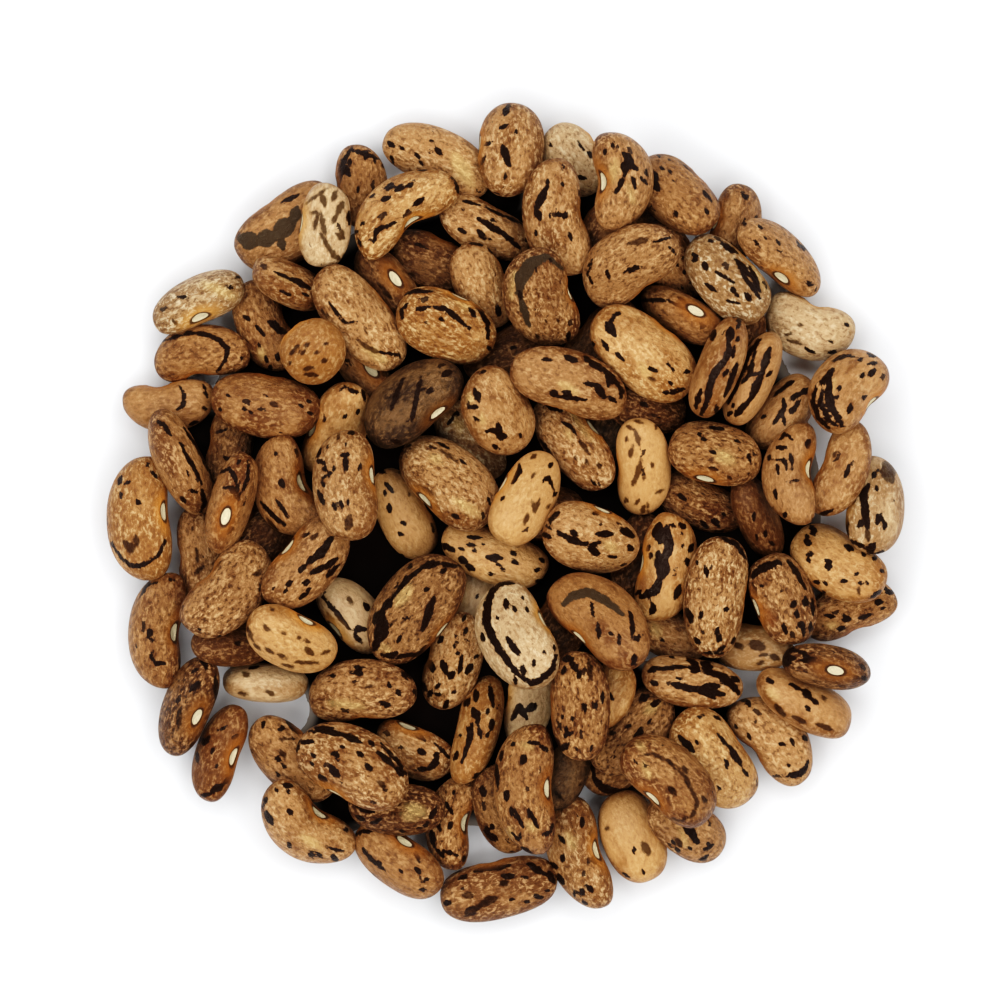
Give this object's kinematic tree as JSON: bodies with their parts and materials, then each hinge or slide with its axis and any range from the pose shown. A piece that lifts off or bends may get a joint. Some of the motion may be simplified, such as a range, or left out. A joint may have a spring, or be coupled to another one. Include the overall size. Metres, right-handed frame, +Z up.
{
  "type": "heap of dried beans",
  "caption": "Shallow round heap of dried mottled beans, lying as poured on a flat surface",
  "frame": {"origin": "on the flat underside, under the middle of the heap", "axes": "+Z up, +Y away from the viewer, +X to the right, as the heap is seen from above"},
  "size_m": [0.0997, 0.102, 0.0185],
  "materials": {
    "bean_skin": "satin mottled seed coat, tan with dark brown streaks and spots"
  },
  "bodies": {
    "root": {"bean_heap": "bean_skin"}
  },
  "joints": []
}
